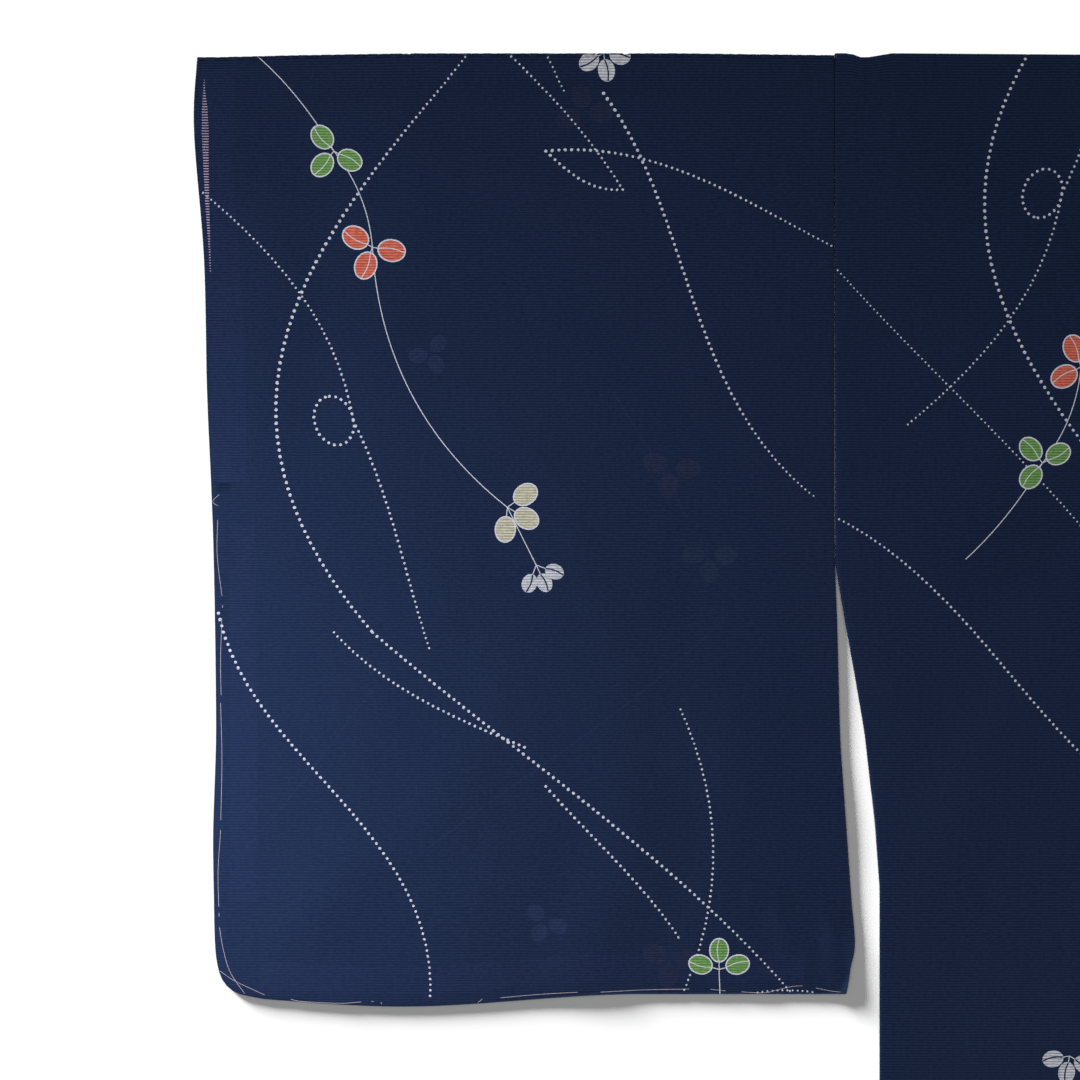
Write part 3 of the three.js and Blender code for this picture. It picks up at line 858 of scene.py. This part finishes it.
def cloth_material(name, dark, light):
    material, shader = new_material(name, 0.6)
    nodes, link = material.node_tree.nodes, material.node_tree.links.new
    shader.inputs["Specular IOR Level"].default_value = 0.85
    shader.inputs["Specular Tint"].default_value = colour(111, 160, 255)
    shader.inputs["Sheen Weight"].default_value = 0.1
    shader.inputs["Sheen Roughness"].default_value = 0.5
    shader.inputs["Sheen Tint"].default_value = colour(120, 145, 215)
    weave = nodes.new("ShaderNodeGroup")
    weave.node_tree = WEAVE
    weave.inputs["Dark"].default_value = colour(*dark)
    weave.inputs["Light"].default_value = colour(*light)
    bump = nodes.new("ShaderNodeBump")
    bump.inputs["Strength"].default_value = 0.25
    bump.inputs["Distance"].default_value = 0.0002
    link(weave.outputs["Height"], bump.inputs["Height"])
    link(bump.outputs["Normal"], shader.inputs["Normal"])
    link(weave.outputs["Color"], shader.inputs["Base Color"])
    materials[name] = material


# ink, darkest, lightest
COLOURS = [
    ("cloth", (16, 22, 37), (35, 45, 71)),
    ("collar", (15, 21, 36), (34, 43, 68)),
    ("white", (150, 162, 176), (255, 255, 253)),
    ("green", (86, 132, 56), (142, 196, 100)),
    ("orange", (194, 76, 50), (255, 142, 104)),
    ("beige", (168, 165, 130), (246, 244, 214)),
    ("stem", (212, 224, 238), (254, 255, 255)),
    ("dot", (194, 207, 228), (252, 254, 255)),
    ("ghost_red", (23, 25, 39), (48, 51, 76)),
    ("ghost_green", (20, 27, 39), (43, 55, 77)),
    ("ghost_pale", (22, 28, 46), (47, 58, 88)),
    ("ghost_line", (20, 26, 43), (42, 52, 83)),
    ("allowance", (18, 23, 40), (39, 48, 78)),
    ("selvedge", (150, 132, 152), (232, 210, 226)),
]
for ink, dark, light in COLOURS:
    cloth_material(ink, dark, light)


def make_thread_material():
    """Pale cotton with the light and dark of its twist."""
    material, shader = new_material("thread", 0.8)
    nodes, link = material.node_tree.nodes, material.node_tree.links.new
    place = nodes.new("ShaderNodeTexCoord")
    twist = nodes.new("ShaderNodeTexNoise")
    twist.inputs["Scale"].default_value = 900
    ramp = nodes.new("ShaderNodeValToRGB")
    ramp.color_ramp.elements[0].color = colour(214, 200, 216)
    ramp.color_ramp.elements[1].color = colour(255, 247, 253)
    link(place.outputs["Object"], twist.inputs["Vector"])
    link(twist.outputs["Fac"], ramp.inputs["Fac"])
    link(ramp.outputs["Color"], shader.inputs["Base Color"])
    return material


thread_material = make_thread_material()


# panels
def shut_sleeve(out, drop):
    """The sleeve is sewn shut at its lower edge and below the cuff's opening."""
    low = ease((drop - LOWER_SHUT_DROP) / LOWER_SHUT_REACH)
    cuff = ease((drop - OPEN_DROP) / SHUT_REACH)
    return np.where(out > SHOULDER + CUFF_FROM, np.maximum(low, cuff), low)


def shut_body(out, drop):
    return np.where(out > SIDE_FROM, ease((drop - SIDE_OPEN_DROP) / SHUT_REACH), 0)


# the ladder of woven ticks beside the cuff's opening: s, out, width
SELVEDGE = [
    (13, 327.4, 0.3), (19, 327.4, 1), (27, 327.2, 2.7), (40, 326.9, 3.6), (58, 326.5, 2.7), (75, 325.9, 2.1),
    (88, 325.3, 1.5), (99, 324.7, 0.9), (113, 324.2, 0.4),
]
TICK_GAP, TICK_THICKNESS, TICK_STEP = 1.4, 0.55, 9


def selvedge_marks():
    marks = []
    for s in np.arange(SELVEDGE[0][0], SELVEDGE[-1][0], TICK_GAP):
        middle, half = SHOULDER + column(SELVEDGE, s, 1), column(SELVEDGE, s, 2) / 2
        ends = [(middle - half, s), (middle + half, s)]
        marks.append(("selvedge", ribbon(ends, TICK_THICKNESS, TICK_STEP)))
    return marks


# dotted lines of the body beside the right sleeve, as in DOTTED but in (out, s)
BESIDE_SLEEVE = [
    (0.9, 1.0, 1.0, (320, 110), 0, 0.05, (150, 300)),
    (1.1, 1.4, 1.4, (320, 240), 0.1, -0.05, (160, 390)),
]
BESIDE_FROM, BESIDE_TOP, BESIDE_END = 286, -4, 520  # the other lines stay off the body there

# cloth that is turned in at a sleeve's edges and shows through: (out, s) points and width
ALLOWANCES = [
    ([(640, 6), (641, 60), (636, 140), (634, 222)], 18),
    ([(628, 244), (627, 330), (627, 440)], 14),
    ([(618, 478), (540, 481), (440, 474), (336, 474)], 14),
]
ALLOWANCE_STEP = 6

# where the repeats of the print lie: out and s of the corner, and -1 where out or s is turned round
SLEEVE_FRONT = {RIGHT: (SHOULDER, 0, 1, 1), LEFT: (SHOULDER + 332, 488, -1, -1)}
SLEEVE_BACK = {RIGHT: (SHOULDER + 334, -2, -1, -1), LEFT: (SHOULDER - 4, -490, 1, 1)}
BODY_FRONT = {
    RIGHT: [(-48, 262, 1, -1), (318, 520, -1, 1), (-20, 1010, 1, 1), (330, 1960, -1, -1)],
    LEFT: [(310, -180, -1, 1), (-10, 330, 1, 1), (330, 1300, -1, -1), (-16, 1310, 1, 1)],
}
BODY_BACK = [(-6, -4, 1, -1), (326, -980, -1, 1), (-8, -1472, 1, 1), (324, -1980, -1, 1)]
OVERLAP = {
    RIGHT: [(-150, 300, 1, 1), (92, 1270, -1, -1), (-130, 1240, 1, 1)],
    LEFT: [(-130, 300, 1, 1), (112, 1270, -1, -1), (-110, 1240, 1, 1)],
}
COLLAR = [(-90, -830, 1, 1), (-180, -340, 1, 1)]
COVER = [(-160, -260, 1, 1), (150, 250, -1, -1)]

FINE_DOTS = repeat(FINE_SIDES)
PLAIN_DOTS = repeat(PLAIN_SIDES)


def repeats(places):
    faces = []
    for place in places:
        faces += placed(PLAIN_DOTS, *place)
    return faces


def sleeve_print(side):
    faces = [("allowance", ribbon(points, width, ALLOWANCE_STEP)) for points, width in ALLOWANCES]
    faces += placed(FINE_DOTS if side == RIGHT else PLAIN_DOTS, *SLEEVE_FRONT[side])
    return faces + repeats([SLEEVE_BACK[side]]) + selvedge_marks()


def beside_sleeve(polygon):
    out, s = polygon.max(0)
    return out > BESIDE_FROM and BESIDE_TOP < s < BESIDE_END


def body_print(side):
    faces = repeats(BODY_FRONT[side] + BODY_BACK)
    if side == LEFT:
        return faces
    faces = [(ink, polygon) for ink, polygon in faces if not beside_sleeve(polygon)]
    return dotted(BESIDE_SLEEVE, BESIDE_SIDES) + faces


# more points where the cloth bends sharply: at the shoulder fold, the collar's corner and the cover's fold
FOLD_ROWS = (0.25, 0.5, 0.75, 1, 1.2, 1.5, 2.2, 3.5, 5.5)
FOLD_START, FOLD_END, FOLD_STEP = 2.3, SHOULDER + 340, 4.0
CREASE_SPACING, CREASE_STEP = ROLL_DIAGONAL * 2 / 9, 3.0
TURN_ROWS, TURN_STEP = 9, 4.0

fold_rows = np.array([(out, s) for s in (0, *FOLD_ROWS, *[-row for row in FOLD_ROWS])
                      for out in np.arange(FOLD_START, FOLD_END, FOLD_STEP)])
crease_rows = np.array([(across, CREASE + across + row * CREASE_SPACING)
                        for row in range(-1, 11) for across in np.arange(1, COLLAR_WIDTH, CREASE_STEP)])
turn_rows = np.array([(w, t) for w in np.linspace(-ARC, ARC, TURN_ROWS)
                      for t in np.arange(-STRIP_END - COVER_DROP + 2, STRIP_END + COVER_DROP, TURN_STEP)])


def cover_crease_rows():
    rows = []
    for side in (RIGHT, LEFT):
        for across, along in crease_rows:
            flat = COLLAR_WIDTH - WRAP_RADIUS - across + ARC
            rows += [(flat, side * (STRIP_END - along)), (-flat, side * (STRIP_END - along))]
    return np.array(rows)


# basting thread, long loose stitches along the sewn edges of a sleeve: (out, s) points of each stitch
BASTING = [
    [(639.3, 228), (643, 232), (639.8, 234.5)],
    [(640.4, 241), (640.6, 260), (638.1, 281.6)],
    [(637.9, 285.2), (637.9, 287.8)],
    [(638.2, 292), (638.9, 314.6), (638.6, 333)],
    [(638.9, 336), (638.2, 366), (638.8, 398)],
    [(638.8, 402), (640.2, 424), (639.8, 443)],
    [(639.7, 445.2), (639.7, 448.2)],
    [(639.6, 452.6), (637.7, 463.7), (634.9, 474.1), (631.4, 480.6), (626, 488)],
    [(639.8, 475.5), (630.9, 481.3), (615.5, 488.5)],
    [(603, 490.4), (596.4, 491.7), (577, 492.6), (565.2, 491.8)],
    [(561, 491.5), (559, 491.9)],
    [(555.8, 491.6), (555, 493.6)],
    [(505.6, 492.6), (502.5, 490)],
    [(494, 489.8), (474, 488), (453, 486.7)],
    [(442, 486.7), (418, 485.6), (395, 485.2)],
    [(385, 485.2), (376, 486.2)],
    [(369, 486.6), (357, 487.2), (349.7, 485.6), (341.4, 483.8), (336, 483.5)],
    [(330.3, 484.5), (323, 486), (317, 486.6)],
]
THREAD_RADIUS, THREAD_STEP, THREAD_SIDES = 0.1, 0.8, 6
THREAD_HEIGHT = 0.8  # of its middle above the cloth, as a share of its radius
DIP, DIP_POINTS = 0.5, 1.5  # how deep a stitch goes into the cloth at its ends, and over how many points


def tube(path, first):
    """Points and faces of a closed tube round the path. Its points are numbered from first."""
    ahead = np.gradient(path, axis=0)
    ahead /= np.linalg.norm(ahead, axis=1)[:, None]
    across = np.cross(ahead, (0, 0, 1))
    across /= np.linalg.norm(across, axis=1)[:, None]
    up = np.cross(across, ahead)
    points, faces = [], []
    count = len(path)
    for side in range(THREAD_SIDES):
        angle = side * 2 * math.pi / THREAD_SIDES
        points += list(path + THREAD_RADIUS * (across * math.cos(angle) + up * math.sin(angle)))
        a, b = first + side * count, first + (side + 1) % THREAD_SIDES * count
        faces += [(a + i, a + i + 1, b + i + 1, b + i) for i in range(count - 1)]
    faces.append([first + side * count for side in range(THREAD_SIDES)])
    faces.append([first + side * count + count - 1 for side in reversed(range(THREAD_SIDES))])
    return points, faces


def thread(name, stitches, place, outline):
    """Each stitch is a thin tube that lies on the cloth and dips into it at both ends."""
    points, faces = [], []
    for stitch in stitches:
        line = smooth_line(stitch, THREAD_STEP)
        edge, _ = edge_distance(line, outline)
        x, y, z = place(line[:, 0], line[:, 1], edge, np.zeros(len(line)))
        order = np.arange(len(line))
        dip = DIP * (1 - quarter(np.minimum(order, order[::-1]) / DIP_POINTS))
        path = np.column_stack([x, y, z + THREAD_RADIUS * THREAD_HEIGHT - dip])
        more_points, more_faces = tube(path, len(points))
        points += more_points
        faces += more_faces
    mesh = new_mesh(name, np.array(points), faces)
    mesh.materials.append(thread_material)
    piece = new_object(name, mesh)
    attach(piece, "root")
    return piece


def shown(piece, node):
    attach(piece, "root")
    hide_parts(node)


SLEEVE_GRID = {RIGHT: 6, LEFT: 8}
BODY_GRID, COLLAR_GRID, COVER_GRID = 8, 6, 5


def add_sleeve(side, label):
    cut, laid = sleeve_outline(), folded_place(side, shut_sleeve)
    sleeve = panel(f"sleeve_{label}_cloth", cut, laid, sleeve_print(side), SLEEVE_GRID[side], fold_rows)
    shown(sleeve, f"sleeve_{label}")
    basting = thread(f"sleeve_{label}_basting", BASTING, laid, cut)


def add_body(side, label):
    laid = folded_place(side, shut_body)
    body = panel(f"body_{label}_cloth", body_outline(), laid, body_print(side), BODY_GRID, fold_rows)
    shown(body, f"body_{label}")


def add_overlap(side, label):
    faces = repeats(OVERLAP[side])
    overlap = panel(f"overlap_{label}_cloth", overlap_outline(), flat_place(side), faces, BODY_GRID)
    shown(overlap, f"overlap_{label}")


def add_collar(side, label):
    cut, laid = collar_outline(), collar_place(side)
    collar = panel(f"collar_{label}_cloth", cut, laid, repeats(COLLAR), COLLAR_GRID, crease_rows, "collar")
    shown(collar, f"collar_{label}")


def add_cover():
    faces = repeats(COVER)
    fine = np.vstack([turn_rows, cover_crease_rows()])
    cover = panel("collar_cover_cloth", cover_outline(), cover_place, faces, COVER_GRID, fine, "collar")
    shown(cover, "collar_cover")


for side, label in ((RIGHT, "right"), (LEFT, "left")):
    add_sleeve(side, label)
    add_body(side, label)
    add_overlap(side, label)
    add_collar(side, label)
add_cover()

# floor and light
FLOOR_HALF = 6.0
FLOOR_DROP = 0.0002
FLOOR_GREY = 0.86
AMBIENT = 0.08

floor_corners = [(-FLOOR_HALF, -FLOOR_HALF, 0), (FLOOR_HALF, -FLOOR_HALF, 0),
                 (FLOOR_HALF, FLOOR_HALF, 0), (-FLOOR_HALF, FLOOR_HALF, 0)]
floor_mesh = bpy.data.meshes.new("floor")
floor_mesh.from_pydata(floor_corners, [], [(0, 1, 2, 3)])
floor = new_object("floor", floor_mesh)
floor.location.z = -FLOOR_DROP
floor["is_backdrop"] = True
floor_material, floor_shader = new_material("floor", 0.9)
floor_shader.inputs["Base Color"].default_value = (FLOOR_GREY, FLOOR_GREY, FLOOR_GREY, 1)
floor_shader.inputs["Specular IOR Level"].default_value = 0.1
floor_mesh.materials.append(floor_material)


def only_on(light, objects):
    """The light falls on these objects alone, as with flags in a studio."""
    group = bpy.data.collections.new(light.name + "_receivers")
    for lit in objects:
        group.objects.link(lit)
    light.light_linking.receiver_collection = group


def aimed(name, kind, place, target, energy, size):
    data = bpy.data.lights.new(name, kind)
    data.energy = energy
    if kind == "SUN":
        data.angle = size
    else:
        data.size = size
    light = new_object(name, data)
    light.location = (np.array(place) + (0, SHOULDER_Y, 0)) * MM
    direction = Vector(np.array(target, float) - np.array(place, float))
    light.rotation_euler = direction.to_track_quat("-Z", "Y").to_euler()
    return light


# name, kind, place, target, energy, size in metres or angle
FLOOR_LIGHTS = [
    ("floor_key", "SUN", (-1473, 748, 270), (-473, -252, 0), 16, math.radians(16)),
    ("floor_fill", "SUN", (-473, -252, 2000), (-473, -252, 0), 0.75, math.radians(60)),
]
CLOTH_LIGHTS = [
    ("key", "AREA", (-800, -400, 420), (-600, -300, 0), 1.4, 0.3),
    ("wide", "AREA", (-1600, -300, 1400), (-400, -400, 0), 9, 0.8),
    ("fill", "AREA", (900, -1400, 700), (250, -800, 0), 11, 0.7),
]
for rows, lit_objects in ((FLOOR_LIGHTS, [floor]), (CLOTH_LIGHTS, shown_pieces())):
    for row in rows:
        lamp = aimed(*row)
        lamp.visible_glossy = lamp.name != "wide"  # that one would show in the cloth as a bright patch
        only_on(lamp, lit_objects)

world = bpy.data.worlds.new("studio")
bpy.context.scene.world = world
world.use_nodes = True
world.node_tree.nodes["Background"].inputs["Color"].default_value = (1, 1, 1, 1)
world.node_tree.nodes["Background"].inputs["Strength"].default_value = AMBIENT

bpy.context.scene.view_settings.view_transform = "Standard"
